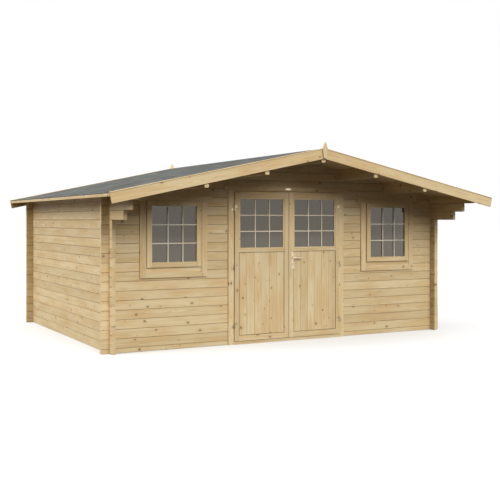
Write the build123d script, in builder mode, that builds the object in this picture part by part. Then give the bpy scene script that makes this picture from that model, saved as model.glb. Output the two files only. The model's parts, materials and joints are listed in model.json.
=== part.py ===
from build123d import *
import os
from math import ceil, cos, radians, sin, tan

os.makedirs("parts", exist_ok=True)

# Log cabin with a double door, two windows and a low gable roof that reaches out over the front.
# Millimetres. X runs to the right seen from the front, Y to the back, Z up.
# The origin is on the ground, in the middle of the log walls' footprint.

# Clearances
joint_gap = 0.4             # between a log and the next one, and at each corner crossing
seat_gap = 0.3              # between other pieces that bear on each other
run_gap = 5                 # round the door leaves

# Log walls
wall_width = 4920           # between the outer faces of the side walls
wall_depth = 3660           # between the outer faces of the front and rear walls
log_thick = 44
log_pitch = 114             # height that one log adds to a wall
log_chamfer = 4.5           # bevel on each long edge, two of them make a V joint
log_end = 100               # what a log runs past the wall that it crosses
side_rows = 16              # whole logs in a side wall, below its plate log
plate_height = 106          # plate log, at the outer face of the side wall
lower_corbel = 490          # what the last two side logs run past the front wall
upper_corbel = 680

# Roof
roof_pitch = 11.9           # degrees
eave_overhang = 300         # past the outer faces of the side walls
front_overhang = 897        # front wall to the face of the front barge boards
rear_overhang = 210
board_thick = 19            # roof boards
shingle_thick = 5.5
ridge_cap_width = 125       # on each slope
purlin_width = 56
purlin_height = 145         # at the middle of its width
purlin_chamfer = 9
purlin_spacing = 797        # measured level, from the ridge outwards
barge_thick = 18
barge_width = 122
barge_rise = 26             # top of the barge boards above the roof boards' underside
strip_thick = 8             # cover strip on the barge boards
strip_width = 46
strip_nose = 6              # what it stands out over the barge board's face
batten_width = 40           # eave battens
batten_thick = 14
finial_thick = 18
finial_tip = 77             # tip of the finial above the barge boards' apex
finial_half_width = 36.5
finial_foot_half_width = 17.5
finial_shoulder = 4         # widest point, below the apex
finial_length = 204

# Floor
joist_width = 60
joist_height = 36
joist_count = 9
floor_thick = 19

# Doorway
door_opening = 1690         # between the log ends
jamb_width = 75             # door frame's uprights, inwards from the log ends
frame_back = 10             # what door and window frames stand out inside
threshold_height = 40
threshold_nose = 30
casing_lap = 40             # what the upright casings stand inside the log ends
casing_width = 78
casing_thick = 22
casing_head = 59            # height of the head casing
casing_drop = 24            # lower edge of the head casing below the log opening's top
casing_ear = 50             # what the head casing runs past the uprights
frame_head = 65             # height of the door frame's head

# Door leaves
leaf_thick = 35
leaf_drop = 38              # top of the leaf below the log opening's top
meeting_bevel = 2.5         # the meeting edges lean back so that each leaf swings free
hinge_stile = 60
meeting_stile = 67
bottom_rail = 68
lock_rail_low = 1181        # lower edge of the rail between panel and glass
lock_rail = 37
top_rail = 72
panel_recess = 4
panel_thick = 20
panel_chamfer = 6
bead_width = 20
bead_thick = 22
glass_thick = 4
hinge_heights = (250, 1000, 1750)
knuckle_radius = 7
knuckle_length = 40
pin_radius = 4
pin_play = 0.3
hinge_plate = 3
hinge_plate_width = 34

# Lock and lever
backset = 55                # meeting edge of the leaf to the spindle
lever_height = 1096
plate_width = 36
plate_length = 224
plate_drop = 151            # spindle to the lower end of the lock plate
lock_plate_thick = 3
cylinder_drop = 72          # spindle to the key cylinder
cylinder_radius = 8.5
spindle_radius = 4.5
hub_radius = 9
lever_reach = 36            # lock plate to the middle of the grip
grip_length = 132
grip_height = 17
grip_thick = 12
grip_fillet = 5

# Windows
window_offset = 830         # outer face of the side wall to the middle of the window
window_opening = 800        # between the log ends
window_jamb = 38            # log end to the edge of the sash
window_sill_row = 8         # log joint at the lower edge of the opening
sash_drop = 52              # sash below the top of the opening
sash_rise = 45              # sash above the bottom of the opening
sash_member = 64
sash_proud = 34             # face of the sash in front of the wall
sash_thick = 40
frame_proud = 12
sill_drop = 12              # what the sill covers of the log below
trim_thick = 20
trim_reveal = 16            # window frame left bare between the sash and the upright trim
trim_width = 72
trim_head = 60
trim_head_drop = 51         # lower edge of the head trim below the top of the opening
trim_foot = 70
trim_ear = 68                 # head trim past the upright trims

# Worked out from the sizes above
slope = radians(roof_pitch)
half_width = wall_width / 2
half_depth = wall_depth / 2
half_door = door_opening / 2
jamb_inner = half_door - jamb_width
casing_inner = half_door - casing_lap
casing_outer = casing_inner + casing_width
front_face = -half_depth
front_mid = front_face + log_thick / 2
side_mid = half_width - log_thick / 2
log_height = log_pitch - joint_gap
half_log = log_pitch / 2
front_rows = side_rows + 1
door_top = half_log + front_rows * log_pitch
plate_foot = side_rows * log_pitch
ridge_line = plate_foot + plate_height + half_width * tan(slope)
gable_rows = ceil((ridge_line - door_top) / log_pitch)
roof_half = half_width + eave_overhang
roof_front = front_face - front_overhang + barge_thick + seat_gap
roof_rear = half_depth + rear_overhang - barge_thick - seat_gap
roof_length = roof_rear - roof_front
run_through = 2 * (roof_half + front_overhang)
sides = ((-1, "left"), (1, "right"))


def underside(x):
    """Height of the roof boards' underside at a level distance x from the ridge."""
    return ridge_line - abs(x) * tan(slope)


def slope_band(side, start, end, base, thick):
    """Corners of a flat band on one slope, from start to end, base above the underside."""
    low = base / cos(slope)
    high = (base + thick) / cos(slope)
    return [
        (side * start, underside(start) + low),
        (side * end, underside(end) + low),
        (side * end, underside(end) + high),
        (side * start, underside(start) + high),
    ]


def front_row_mid(row):
    """Middle height of a whole log in the front or rear wall, counted from the half log up."""
    return half_log + row * log_pitch + log_height / 2


def side_row_mid(row):
    """Middle height of a log in a side wall."""
    return row * log_pitch + log_height / 2


def span_box(low, high, mode=Mode.ADD):
    """Box between two corners, in the part in hand."""
    middle = [(a + b) / 2 for a, b in zip(low, high)]
    size = [b - a for a, b in zip(low, high)]
    with Locations(tuple(middle)):
        Box(*size, mode=mode)


def finish(builder, name):
    """Label a finished piece and write it."""
    builder.part.label = name
    export_step(builder.part, f"parts/{name}.step")


# Spaces that the pieces leave for each other
# Everything above the roof boards' underside
with BuildPart() as above_roof:
    with BuildSketch(Plane.XZ.offset(-run_through / 2)):
        with BuildLine():
            Polyline(
                (-run_through, underside(run_through) - seat_gap),
                (0, ridge_line - seat_gap),
                (run_through, underside(run_through) - seat_gap),
                (run_through, ridge_line + log_pitch),
                (-run_through, ridge_line + log_pitch),
                close=True,
            )
        make_face()
    extrude(amount=run_through)

# Seats of the purlins in the gable logs
purlin_places = [step * purlin_spacing for step in (-2, -1, 0, 1, 2)]
with BuildPart() as purlin_seats:
    for place in purlin_places:
        foot = underside(place) - purlin_height - joint_gap
        span_box(
            (place - purlin_width / 2 - joint_gap, -run_through / 2, foot),
            (place + purlin_width / 2 + joint_gap, run_through / 2, ridge_line + log_pitch),
        )

# Corner joint: half of each log's height is left at the crossing, a quarter notched out above
# and a quarter below, so that the crossing logs lock into each other by turns.
notch_height = log_pitch / 2 + joint_gap
notch_width = log_thick + 2 * joint_gap
with BuildPart() as front_notches:
    for side, _ in sides:
        heights = [(row + 0.5) * log_pitch - joint_gap / 2 for row in range(side_rows + 1)]
        with Locations(*[(side * side_mid, 0, height) for height in heights]):
            Box(notch_width, run_through, notch_height)
with BuildPart() as side_notches:
    for end in (-1, 1):
        heights = [row * log_pitch - joint_gap / 2 for row in range(front_rows + 1)]
        with Locations(*[(0, end * -front_mid, height) for height in heights]):
            Box(run_through, notch_width, notch_height)

# Front wall, beside the doorway, with a window opening on each side
window_place = half_width - window_offset
sill_joint = half_log + window_sill_row * log_pitch
head_joint = half_log + side_rows * log_pitch
front_length = half_width + log_end - half_door
for side, name in sides:
    start = half_door if side > 0 else -half_width - log_end
    with BuildPart() as front_wall_logs:
        with BuildSketch(Plane.YZ.offset(start)) as log_ends:
            with Locations((front_mid, (half_log - joint_gap) / 2)):
                Rectangle(log_thick, half_log - joint_gap)
            with Locations(*[(front_mid, front_row_mid(row)) for row in range(front_rows)]):
                Rectangle(log_thick, log_height)
            chamfer(log_ends.vertices(), log_chamfer)
        extrude(amount=front_length)
        with Locations((side * window_place, front_mid, (sill_joint + head_joint - joint_gap) / 2)):
            Box(window_opening, 2 * log_thick, head_joint - sill_joint, mode=Mode.SUBTRACT)
        add(front_notches.part, mode=Mode.SUBTRACT)
        add(above_roof.part, mode=Mode.SUBTRACT)
        add(purlin_seats.part, mode=Mode.SUBTRACT)
    finish(front_wall_logs, f"front_wall_{name}_logs")

# Rear wall, whole
with BuildPart() as rear_wall_logs:
    with BuildSketch(Plane.YZ.offset(-half_width - log_end)) as log_ends:
        with Locations((-front_mid, (half_log - joint_gap) / 2)):
            Rectangle(log_thick, half_log - joint_gap)
        with Locations(*[(-front_mid, front_row_mid(row)) for row in range(front_rows)]):
            Rectangle(log_thick, log_height)
        chamfer(log_ends.vertices(), log_chamfer)
    extrude(amount=wall_width + 2 * log_end)
    add(front_notches.part, mode=Mode.SUBTRACT)
    add(above_roof.part, mode=Mode.SUBTRACT)
    add(purlin_seats.part, mode=Mode.SUBTRACT)
finish(rear_wall_logs, "rear_wall_logs")

# Gables, cut to the slopes and round the purlins
for end, name in ((1, "front_gable_logs"), (-1, "rear_gable_logs")):
    with BuildPart() as gable_logs:
        with BuildSketch(Plane.YZ.offset(-half_width)) as log_ends:
            rows = range(front_rows, front_rows + gable_rows)
            with Locations(*[(end * front_mid, front_row_mid(row)) for row in rows]):
                Rectangle(log_thick, log_height)
            chamfer(log_ends.vertices(), log_chamfer)
        extrude(amount=wall_width)
        add(above_roof.part, mode=Mode.SUBTRACT)
        add(purlin_seats.part, mode=Mode.SUBTRACT)
    finish(gable_logs, name)

# Side walls: the last two logs step out under the front overhang
wall_courses = (
    (range(side_rows - 2), log_end),
    ((side_rows - 2,), lower_corbel),
    ((side_rows - 1,), upper_corbel),
)
for side, name in sides:
    with BuildPart() as side_wall_logs:
        for rows, reach in wall_courses:
            with BuildSketch(Plane.XZ.offset(-half_depth - log_end)) as log_ends:
                with Locations(*[(side * side_mid, side_row_mid(row)) for row in rows]):
                    Rectangle(log_thick, log_height)
                chamfer(log_ends.vertices(), log_chamfer)
            extrude(amount=wall_depth + log_end + reach)
        add(side_notches.part, mode=Mode.SUBTRACT)
    finish(side_wall_logs, f"{name}_wall_logs")

# Plate logs, bevelled to the roof, from barge board to barge board
with BuildPart() as plate_logs:
    with BuildSketch(Plane.XZ.offset(-roof_rear)) as log_ends:
        with Locations(*[(side * side_mid, plate_foot + log_pitch) for side, _ in sides]):
            Rectangle(log_thick, 2 * log_pitch)
        chamfer(log_ends.vertices().group_by(Axis.Y)[0], log_chamfer)
    extrude(amount=roof_length)
    add(side_notches.part, mode=Mode.SUBTRACT)
    add(above_roof.part, mode=Mode.SUBTRACT)
finish(plate_logs, "plate_logs")

# Purlins, from barge board to barge board
for name, steps in (("ridge_purlin", (0,)), ("middle_purlins", (-1, 1)), ("lower_purlins", (-2, 2))):
    with BuildPart() as purlins:
        with BuildSketch(Plane.XZ.offset(-roof_rear)) as section:
            for step in steps:
                place = step * purlin_spacing
                with Locations((place, underside(place) - purlin_height + log_pitch)):
                    Rectangle(purlin_width, 2 * log_pitch)
            chamfer(section.vertices().group_by(Axis.Y)[0], purlin_chamfer)
        extrude(amount=roof_length)
        add(above_roof.part, mode=Mode.SUBTRACT)
    finish(purlins, name)

# Roof boards and shingles on each slope
shingle_base = board_thick + seat_gap
for side, name in sides:
    with BuildPart() as roof_boards:
        with BuildSketch(Plane.XZ.offset(-roof_rear)):
            with BuildLine():
                Polyline(*slope_band(side, seat_gap, roof_half, 0, board_thick), close=True)
            make_face()
        extrude(amount=roof_length)
    finish(roof_boards, f"roof_boards_{name}")
    with BuildPart() as shingles:
        with BuildSketch(Plane.XZ.offset(-roof_rear)):
            with BuildLine():
                Polyline(*slope_band(side, seat_gap, roof_half, shingle_base, shingle_thick), close=True)
            make_face()
        extrude(amount=roof_length)
    finish(shingles, f"shingles_{name}")

# Ridge cap, folded over the two slopes
cap_base = (shingle_base + shingle_thick + seat_gap) / cos(slope)
cap_top = cap_base + shingle_thick / cos(slope)
cap_fall = ridge_cap_width * tan(slope)
strip_back = strip_width - strip_nose - barge_thick
with BuildPart() as ridge_cap:
    with BuildSketch(Plane.XZ.offset(-(roof_rear - strip_back))):
        with BuildLine():
            Polyline(
                (-ridge_cap_width, ridge_line + cap_base - cap_fall),
                (0, ridge_line + cap_base),
                (ridge_cap_width, ridge_line + cap_base - cap_fall),
                (ridge_cap_width, ridge_line + cap_top - cap_fall),
                (0, ridge_line + cap_top),
                (-ridge_cap_width, ridge_line + cap_top - cap_fall),
                close=True,
            )
        make_face()
    extrude(amount=roof_length - 2 * strip_back)
finish(ridge_cap, "ridge_cap")

# Eave battens under the edge of the roof boards
with BuildPart() as eave_battens:
    for side, _ in sides:
        corners = slope_band(
            side, roof_half - batten_width, roof_half, -batten_thick - seat_gap, batten_thick
        )
        with BuildSketch(Plane.XZ.offset(-roof_rear)):
            with BuildLine():
                Polyline(*corners, close=True)
            make_face()
        extrude(amount=roof_length)
finish(eave_battens, "eave_battens")

# Barge boards, square cut at the eaves and mitred at the ridge, with a cover strip on top
square_cut = barge_width * sin(slope)
strip_square_cut = strip_thick * sin(slope)
barge_ends = (
    ("front", front_face - front_overhang, -1),
    ("rear", half_depth + rear_overhang, 1),
)
for name, face, outwards in barge_ends:
    back = max(face, face - outwards * barge_thick)
    with BuildPart() as barge_boards:
        for side, _ in sides:
            corners = slope_band(side, seat_gap, roof_half, barge_rise - barge_width, barge_width)
            corners[1] = (
                side * (roof_half - square_cut),
                corners[2][1] - barge_width * cos(slope),
            )
            with BuildSketch(Plane.XZ.offset(-back)):
                with BuildLine():
                    Polyline(*corners, close=True)
                make_face()
            extrude(amount=barge_thick)
    finish(barge_boards, f"{name}_barge_boards")
with BuildPart() as cover_strips:
    for name, face, outwards in barge_ends:
        nose = face + outwards * strip_nose
        back = max(nose, nose - outwards * strip_width)
        for side, _ in sides:
            corners = slope_band(
                side, seat_gap, roof_half + strip_square_cut, barge_rise + seat_gap, strip_thick
            )
            corners[1] = (side * roof_half, corners[2][1] - strip_thick * cos(slope))
            with BuildSketch(Plane.XZ.offset(-back)):
                with BuildLine():
                    Polyline(*corners, close=True)
                make_face()
            extrude(amount=strip_width)
finish(cover_strips, "barge_cover_strips")

# Finials, one at each end of the ridge
apex = ridge_line + (barge_rise + strip_thick) / cos(slope)
with BuildPart() as finials:
    for name, face, outwards in barge_ends:
        inner = face + outwards * (strip_nose + seat_gap)
        back = max(inner, inner + outwards * finial_thick)
        shoulder = apex - finial_shoulder
        foot = apex + finial_tip - finial_length
        with BuildSketch(Plane.XZ.offset(-back)):
            with BuildLine():
                Polyline(
                    (0, apex + finial_tip),
                    (-finial_half_width, shoulder),
                    (-finial_foot_half_width, foot),
                    (finial_foot_half_width, foot),
                    (finial_half_width, shoulder),
                    close=True,
                )
            make_face()
        extrude(amount=finial_thick)
finish(finials, "finials")

# Floor: joists from front to back, boards over them
inner_half_width = half_width - log_thick - seat_gap
inner_half_depth = half_depth - log_thick - seat_gap
joist_spacing = (2 * inner_half_width - joist_width) / (joist_count - 1)
with BuildPart() as floor_joists:
    with Locations((0, 0, joist_height / 2)):
        with GridLocations(joist_spacing, 0, joist_count, 1):
            Box(joist_width, 2 * inner_half_depth, joist_height)
finish(floor_joists, "floor_joists")
with BuildPart() as floor_boards:
    with Locations((0, 0, joist_height + seat_gap + floor_thick / 2)):
        Box(2 * inner_half_width, 2 * inner_half_depth, floor_thick)
finish(floor_boards, "floor_boards")

# Doorway: threshold, frame of two jambs and a head, and casings on the wall's face
frame_rear = front_face + log_thick + frame_back
with BuildPart() as door_threshold:
    span_box(
        (-half_door + seat_gap, front_face, 0),
        (half_door - seat_gap, front_face + log_thick, threshold_height),
    )
    span_box(
        (-casing_inner + seat_gap, front_face - threshold_nose, 0),
        (casing_inner - seat_gap, front_face, threshold_height),
    )
finish(door_threshold, "door_threshold")
jamb_top = door_top - joint_gap - seat_gap
with BuildPart() as door_frame:
    for side, _ in sides:
        jamb_low, jamb_high = sorted((side * jamb_inner, side * (half_door - seat_gap)))
        span_box(
            (jamb_low, front_face, threshold_height + seat_gap),
            (jamb_high, front_face + log_thick, jamb_top),
        )
    span_box(
        (-jamb_inner + seat_gap, front_face, jamb_top - frame_head),
        (jamb_inner - seat_gap, front_face + log_thick, jamb_top),
    )
finish(door_frame, "door_frame")
casing_head_low = door_top - casing_drop
casing_front = front_face - seat_gap - casing_thick
with BuildPart() as door_casing:
    for side, _ in sides:
        low, high = sorted((side * casing_inner, side * casing_outer))
        span_box(
            (low, casing_front, 0),
            (high, front_face - seat_gap, casing_head_low - seat_gap),
        )
    span_box(
        (-casing_outer - casing_ear, casing_front, casing_head_low),
        (casing_outer + casing_ear, front_face - seat_gap, casing_head_low + casing_head),
    )
finish(door_casing, "door_casing")

# Door leaves, each of two stiles and three rails, with a boarded panel under the glass
leaf_back = front_face - run_gap
leaf_front = leaf_back - leaf_thick
leaf_low = threshold_height + run_gap
leaf_high = door_top - leaf_drop
leaf_inner = run_gap / 2
leaf_outer = casing_inner - run_gap
field_inner = leaf_inner + meeting_stile
field_outer = leaf_outer - hinge_stile
panel_low = leaf_low + bottom_rail
glass_low = lock_rail_low + lock_rail
glass_high = leaf_high - top_rail
spindle_place = leaf_inner + backset
for side, name in sides:
    with BuildPart() as leaf_frame:
        with BuildSketch(Plane.XY.offset(leaf_low)):
            with BuildLine():
                Polyline(
                    (side * leaf_inner, leaf_front),
                    (side * (field_inner - seat_gap), leaf_front),
                    (side * (field_inner - seat_gap), leaf_back),
                    (side * (leaf_inner + meeting_bevel), leaf_back),
                    close=True,
                )
            make_face()
            with Locations((side * (leaf_outer + field_outer + seat_gap) / 2, (leaf_front + leaf_back) / 2)):
                Rectangle(hinge_stile - seat_gap, leaf_thick)
        extrude(amount=leaf_high - leaf_low)
        field = sorted((side * field_inner, side * field_outer))
        for low, high in (
            (leaf_low, panel_low - seat_gap),
            (lock_rail_low, glass_low - seat_gap),
            (glass_high + seat_gap, leaf_high),
        ):
            span_box((field[0], leaf_front, low), (field[1], leaf_back, high))
        if name == "right":
            with Locations(Plane.XZ.offset(-leaf_back)):
                with Locations((spindle_place, lever_height, -leaf_thick / 2)):
                    Cylinder(spindle_radius + pin_play, 4 * leaf_thick, mode=Mode.SUBTRACT)
    finish(leaf_frame, f"{name}_leaf_frame")

    with BuildPart() as leaf_panel:
        span_box(
            (field[0], leaf_front + panel_recess, panel_low),
            (field[1], leaf_front + panel_recess + panel_thick, lock_rail_low - seat_gap),
        )
        chamfer(leaf_panel.faces().sort_by(Axis.Y)[0].edges(), panel_chamfer)
    finish(leaf_panel, f"{name}_leaf_panel")

    bead_front = leaf_front + panel_recess
    bead_low, bead_high = glass_low, glass_high
    with BuildPart() as glazing_beads:
        for low, high in ((bead_low, bead_low + bead_width), (bead_high - bead_width, bead_high)):
            span_box((field[0], bead_front, low), (field[1], bead_front + bead_thick, high))
        for low, high in ((field[0], field[0] + bead_width), (field[1] - bead_width, field[1])):
            span_box(
                (low, bead_front, bead_low + bead_width + seat_gap),
                (high, bead_front + bead_thick, bead_high - bead_width - seat_gap),
            )
    finish(glazing_beads, f"{name}_leaf_beads")

    with BuildPart() as leaf_glass:
        inset = bead_width + seat_gap
        pane_front = bead_front + (bead_thick - glass_thick) / 2
        span_box(
            (field[0] + inset, pane_front, bead_low + inset),
            (field[1] - inset, pane_front + glass_thick, bead_high - inset),
        )
    finish(leaf_glass, f"{name}_leaf_glass")

# Hinges: knuckles in front of the gap between leaf and casing. The upper knuckle and its plate are
# on the leaf, the lower one with the pin is on the casing.
hinge_place = leaf_outer + run_gap / 2
hinge_axis = leaf_front - knuckle_radius - seat_gap
for side, name in sides:
    with BuildPart() as leaf_hinges:
        with Locations(*[(side * hinge_place, hinge_axis, height) for height in hinge_heights]):
            Cylinder(knuckle_radius, knuckle_length, align=(Align.CENTER, Align.CENTER, Align.MIN))
        for height in hinge_heights:
            low, high = sorted((side * hinge_place, side * (leaf_outer - hinge_plate_width)))
            span_box(
                (low, leaf_front - seat_gap - hinge_plate, height),
                (high, leaf_front - seat_gap, height + knuckle_length),
            )
        with Locations(*[(side * hinge_place, hinge_axis, height) for height in hinge_heights]):
            Cylinder(
                pin_radius + pin_play,
                knuckle_length,
                align=(Align.CENTER, Align.CENTER, Align.MIN),
                mode=Mode.SUBTRACT,
            )
    finish(leaf_hinges, f"{name}_leaf_hinges")

with BuildPart() as frame_hinges:
    for side, _ in sides:
        for height in hinge_heights:
            top = height - seat_gap
            with Locations((side * hinge_place, hinge_axis, top - knuckle_length)):
                Cylinder(knuckle_radius, knuckle_length, align=(Align.CENTER, Align.CENTER, Align.MIN))
                Cylinder(
                    pin_radius, 2 * knuckle_length - seat_gap, align=(Align.CENTER, Align.CENTER, Align.MIN)
                )
            leg_inner = casing_inner + seat_gap
            low, high = sorted((side * leg_inner, side * (leg_inner + hinge_plate)))
            span_box(
                (low, hinge_axis, top - knuckle_length), (high, casing_front - seat_gap, top)
            )
            low, high = sorted((side * leg_inner, side * (leg_inner + hinge_plate_width)))
            span_box(
                (low, casing_front - seat_gap - hinge_plate, top - knuckle_length),
                (high, casing_front - seat_gap, top),
            )
finish(frame_hinges, "frame_hinges")

# Lock plates on both faces of the right leaf, with the key cylinder, and the lever through them
plate_middle = lever_height - plate_drop + plate_length / 2
plate_seats = (leaf_front - seat_gap, leaf_back + seat_gap + lock_plate_thick)
with BuildPart() as lock_plates:
    for seat in plate_seats:
        with BuildSketch(Plane.XZ.offset(-seat)):
            with Locations((spindle_place, plate_middle)):
                RectangleRounded(plate_width, plate_length, plate_width / 3)
            with Locations((spindle_place, lever_height)):
                Circle(spindle_radius + pin_play, mode=Mode.SUBTRACT)
        extrude(amount=lock_plate_thick)
    for low, high in (
        (leaf_front - seat_gap - 2 * lock_plate_thick, leaf_front - seat_gap - lock_plate_thick),
        (leaf_back + seat_gap + lock_plate_thick, leaf_back + seat_gap + 2 * lock_plate_thick),
    ):
        with BuildSketch(Plane.XZ.offset(-high)):
            with Locations((spindle_place, lever_height - cylinder_drop)):
                Circle(cylinder_radius)
        extrude(amount=high - low)
finish(lock_plates, "lock_plates")

hub_front = leaf_front - 2 * seat_gap - lock_plate_thick
hub_back = leaf_back + 2 * seat_gap + lock_plate_thick
with BuildPart() as lever_handle:
    with BuildSketch(Plane.XZ.offset(-hub_back)):
        with Locations((spindle_place, lever_height)):
            Circle(spindle_radius)
    extrude(amount=hub_back - hub_front)
    for low, high in ((hub_front - lever_reach, hub_front), (hub_back, hub_back + lever_reach)):
        with BuildSketch(Plane.XZ.offset(-high)):
            with Locations((spindle_place, lever_height)):
                Circle(hub_radius)
        extrude(amount=high - low)
    for middle in (hub_front - lever_reach, hub_back + lever_reach):
        with BuildSketch(Plane.YZ.offset(spindle_place - hub_radius)) as grip_section:
            with Locations((middle, lever_height)):
                RectangleRounded(grip_thick, grip_height, grip_fillet)
        extrude(amount=grip_length)
finish(lever_handle, "lever_handle")

# Windows: frame in the log opening, fixed sash in front of it, glass, and trims on the wall
sash_half = window_opening / 2 - window_jamb
trim_inner = sash_half + trim_reveal
sash_low = sill_joint + sash_rise
sash_high = head_joint - sash_drop
opening_half = window_opening / 2
opening_low = sill_joint + seat_gap
opening_high = head_joint - joint_gap - seat_gap
sash_front = front_face - sash_proud
with BuildPart() as window_frames:
    for side, _ in sides:
        middle = side * window_place
        frame_front = front_face - frame_proud
        for edge in (-1, 1):
            jamb_face = sash_half + seat_gap
            low, high = sorted((middle + edge * jamb_face, middle + edge * (opening_half - seat_gap)))
            span_box((low, front_face, opening_low), (high, frame_rear, opening_high))
            low, high = sorted((middle + edge * jamb_face, middle + edge * (trim_inner - seat_gap)))
            span_box((low, frame_front, sill_joint - sill_drop), (high, front_face - seat_gap, sash_high))
            span_box((low, front_face - seat_gap, opening_low), (high, front_face, sash_high))
        span_box(
            (middle - sash_half, front_face, sash_high + seat_gap),
            (middle + sash_half, frame_rear, opening_high),
        )
        span_box(
            (middle - sash_half, frame_front, opening_low),
            (middle + sash_half, frame_rear, sash_low - seat_gap),
        )
        span_box(
            (middle - sash_half, frame_front, sill_joint - sill_drop),
            (middle + sash_half, front_face - seat_gap, sash_low - seat_gap),
        )
finish(window_frames, "window_frames")

with BuildPart() as window_sashes:
    for side, _ in sides:
        middle = side * window_place
        for edge in (-1, 1):
            low, high = sorted((middle + edge * (sash_half - sash_member), middle + edge * sash_half))
            span_box((low, sash_front, sash_low), (high, sash_front + sash_thick, sash_high))
        rail_half = sash_half - sash_member - seat_gap
        for low, high in ((sash_low, sash_low + sash_member), (sash_high - sash_member, sash_high)):
            span_box(
                (middle - rail_half, sash_front, low),
                (middle + rail_half, sash_front + sash_thick, high),
            )
finish(window_sashes, "window_sashes")

with BuildPart() as window_glass:
    for side, _ in sides:
        middle = side * window_place
        pane_front = sash_front + (sash_thick - glass_thick) / 2
        span_box(
            (middle - rail_half, pane_front, sash_low + sash_member + seat_gap),
            (middle + rail_half, pane_front + glass_thick, sash_high - sash_member - seat_gap),
        )
finish(window_glass, "window_glass")

trim_low = sill_joint - sill_drop - seat_gap
trim_high = head_joint - trim_head_drop
trim_outer = trim_inner + trim_width
trim_front = front_face - seat_gap - trim_thick
with BuildPart() as window_trims:
    for side, _ in sides:
        middle = side * window_place
        head_half = trim_outer + trim_ear
        foot_half = trim_inner - seat_gap
        span_box(
            (middle - head_half, trim_front, trim_high),
            (middle + head_half, front_face - seat_gap, trim_high + trim_head),
        )
        span_box(
            (middle - foot_half, trim_front, trim_low - trim_foot),
            (middle + foot_half, front_face - seat_gap, trim_low),
        )
        for edge in (-1, 1):
            low, high = sorted((middle + edge * trim_inner, middle + edge * trim_outer))
            span_box(
                (low, trim_front, trim_low - trim_foot),
                (high, front_face - seat_gap, trim_high - seat_gap),
            )
finish(window_trims, "window_trims")
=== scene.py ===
"""Dresses the log cabin: grained timber, boards, glazing bars, shingles, glass and ironwork.

Everything is in metres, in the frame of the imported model: X to the right seen from the doors,
Y to the back, Z up, with the origin on the ground in the middle of the walls' footprint.
"""

import json
import logging
import math
import random
from dataclasses import dataclass, field
from enum import Enum

import bmesh
import bpy
from bmesh.types import BMEdge, BMesh, BMVert
from bpy.types import Material, Mesh, NodeSocket, Object
from mathutils import Matrix, Vector

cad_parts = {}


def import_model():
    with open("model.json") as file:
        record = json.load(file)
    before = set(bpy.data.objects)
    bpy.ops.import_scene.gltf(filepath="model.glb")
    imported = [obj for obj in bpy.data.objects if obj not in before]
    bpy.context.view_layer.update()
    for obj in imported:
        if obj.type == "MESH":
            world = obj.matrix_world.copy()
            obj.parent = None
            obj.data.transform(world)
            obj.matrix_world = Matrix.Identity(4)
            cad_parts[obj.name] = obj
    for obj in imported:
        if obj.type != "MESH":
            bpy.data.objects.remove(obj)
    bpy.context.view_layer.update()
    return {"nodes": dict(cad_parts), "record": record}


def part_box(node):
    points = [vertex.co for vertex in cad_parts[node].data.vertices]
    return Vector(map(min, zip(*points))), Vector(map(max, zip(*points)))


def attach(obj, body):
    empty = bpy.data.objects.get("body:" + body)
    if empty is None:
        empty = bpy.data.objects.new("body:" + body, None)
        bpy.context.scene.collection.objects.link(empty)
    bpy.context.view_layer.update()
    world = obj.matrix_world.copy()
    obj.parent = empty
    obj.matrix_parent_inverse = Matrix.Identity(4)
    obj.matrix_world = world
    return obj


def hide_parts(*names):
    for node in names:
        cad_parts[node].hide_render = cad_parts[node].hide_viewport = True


log = logging.getLogger("cabin")

GRAIN = "grain"
TONE = "tone"
# Face attribute of the joint chamfers, which the wood finishes darken as painted shade in the grooves.
SHADED_SEAM = "shaded_seam"
ROOF_FALL = math.radians(11.9)
NEAR = 0.00001
WHITE = (1.0, 1.0, 1.0)
TRUNK_LENGTH = 60.0
PITH_ASIDE = 0.05
PITH_DEPTH = (0.02, 0.08)
MIRROR = Matrix.Diagonal((-1.0, 1.0, 1.0, 1.0))
FACE_FRONT = Matrix.Rotation(math.radians(90.0), 4, "X")
Colour = tuple[float, float, float]
Point = tuple[float, float, float]


class Axis(Enum):
    """A direction of the frame, by its index in a vector."""

    X = 0
    Y = 1
    Z = 2


class Side(Enum):
    """A side of the cabin, by the sign of its X."""

    LEFT = -1
    RIGHT = 1


class Wood(Enum):
    """A finish of the timber."""

    LOG = "log"
    TRIM = "trim"
    JOINERY = "joinery"
    BARS = "bars"
    ROOF = "roof"
    JOIST = "joist"


class Wire:
    """A shader socket on which Python expressions can be written."""

    def __init__(self, bench: "Bench", socket: NodeSocket) -> None:
        """Hold a socket and the bench that its nodes are made on."""
        self.bench = bench
        self.socket = socket

    def _math(self, operation: str, *others: "Wire | float") -> "Wire":
        """Add a Math node with this socket as its first value."""
        return self.bench.math(operation, self, *others)

    def __add__(self, other: "Wire | float") -> "Wire":
        """Sum of two values."""
        return self._math("ADD", other)

    __radd__ = __add__

    def __mul__(self, other: "Wire | float") -> "Wire":
        """Product of two values."""
        return self._math("MULTIPLY", other)

    __rmul__ = __mul__

    def __sub__(self, other: "Wire | float") -> "Wire":
        """This value less another."""
        return self._math("SUBTRACT", other)

    def __rsub__(self, other: float) -> "Wire":
        """A number less this value."""
        return self.bench.math("SUBTRACT", other, self)

    def __truediv__(self, other: "Wire | float") -> "Wire":
        """This value over another."""
        return self._math("DIVIDE", other)

    def __pow__(self, other: "Wire | float") -> "Wire":
        """This value to a power."""
        return self._math("POWER", other)

    def clamp(self) -> "Wire":
        """This value held between 0 and 1."""
        return self._math("MINIMUM", 1.0)._math("MAXIMUM", 0.0)

    def sine(self) -> "Wire":
        """Sine of this value in radians."""
        return self._math("SINE")

    def step(self, low: float, high: float) -> "Wire":
        """Smooth step from 0 at low to 1 at high, or falling where high is less than low.

        Args:
            low: value at which the result is 0.
            high: value at which the result is 1.

        Returns:
            The stepped value.
        """
        share = ((self - low) / (high - low)).clamp()
        return share * share * (3.0 - 2.0 * share)


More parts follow.
